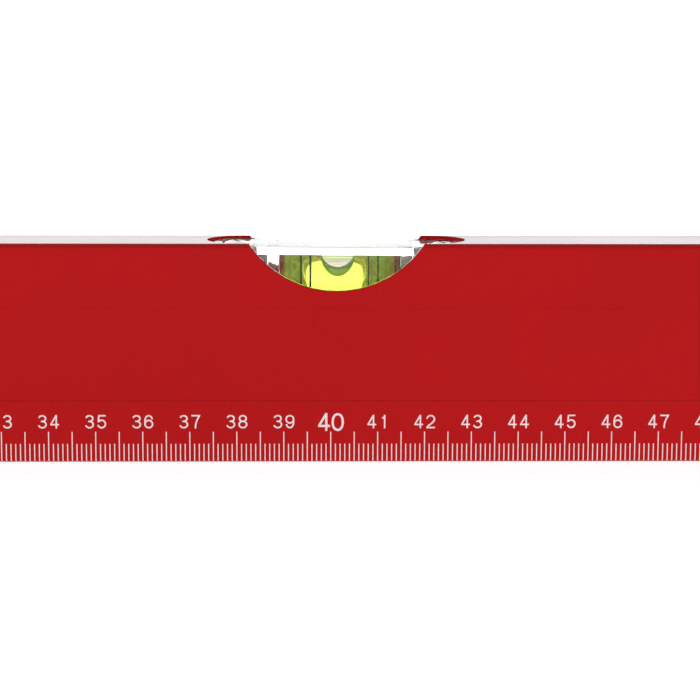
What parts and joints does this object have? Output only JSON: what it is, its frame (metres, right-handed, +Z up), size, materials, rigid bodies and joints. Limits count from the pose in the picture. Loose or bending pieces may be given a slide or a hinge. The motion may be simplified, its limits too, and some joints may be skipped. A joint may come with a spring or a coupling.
{
  "type": "spirit level",
  "caption": "Box-section spirit level with a red body, a printed centimetre scale, a clear centre vial in a circular window, and plumb and 45 degree vials near the ends.",
  "frame": {"origin": "centre of the bottom working face, midway between the outer faces of the end caps", "axes": "+X along the level, the way the printed scale rises; +Y from the face with the scale to the plain face; +Z up, out of the top working face"},
  "size_m": [0.8026, 0.0204, 0.0468],
  "materials": {
    "body_red": "gloss powder coat",
    "cap_black": "moulded, fine texture",
    "bezel_black": "moulded, satin",
    "acrylic_clear": "polished clear acrylic",
    "plug_clear": "polished",
    "plug_black": "satin",
    "liquid_green": "clear dyed liquid",
    "bubble_clear": "air",
    "ring_black": "matt",
    "screw_plated": "bright zinc plate",
    "sleeve_rubber": "matt"
  },
  "bodies": {
    "level": {"angle_bezel_back": "bezel_black", "angle_bezel_front": "bezel_black", "angle_bezel_screws": "screw_plated", "angle_vial_liquid": "liquid_green", "angle_vial_plug": "plug_black", "angle_vial_rings": "ring_black", "angle_vial_tube": "acrylic_clear", "centre_vial_block": "acrylic_clear", "centre_vial_liquid": "liquid_green", "centre_vial_plug": "plug_clear", "centre_vial_rings": "ring_black", "centre_vial_screws": "screw_plated", "centre_vial_sleeves": "sleeve_rubber", "end_cap_left": "cap_black", "end_cap_right": "cap_black", "level_body": "body_red", "plumb_bezel_back": "bezel_black", "plumb_bezel_front": "bezel_black", "plumb_bezel_screws": "screw_plated", "plumb_vial_liquid": "liquid_green", "plumb_vial_plug": "plug_black", "plumb_vial_rings": "ring_black", "plumb_vial_tube": "acrylic_clear"},
    "centre_bubble": {"centre_vial_bubble": "bubble_clear"},
    "plumb_bubble": {"plumb_vial_bubble": "bubble_clear"},
    "angle_bubble": {"angle_vial_bubble": "bubble_clear"}
  },
  "joints": [
    {"name": "centre_bubble_slide", "type": "slide", "parent": "level", "child": "centre_bubble", "axis": [1, 0, -0.0079], "range_m": [-0.0073, 0.0081], "stiffness_N_per_m": 0.5},
    {"name": "plumb_bubble_slide", "type": "slide", "parent": "level", "child": "plumb_bubble", "axis": [0, 0, 1], "range_m": [-0.01275, 0], "stiffness_N_per_m": 0.5, "springref_m": 0.02},
    {"name": "angle_bubble_slide", "type": "slide", "parent": "level", "child": "angle_bubble", "axis": [0.7071, 0, 0.7071], "range_m": [-0.01275, 0], "stiffness_N_per_m": 0.5, "springref_m": 0.02}
  ]
}
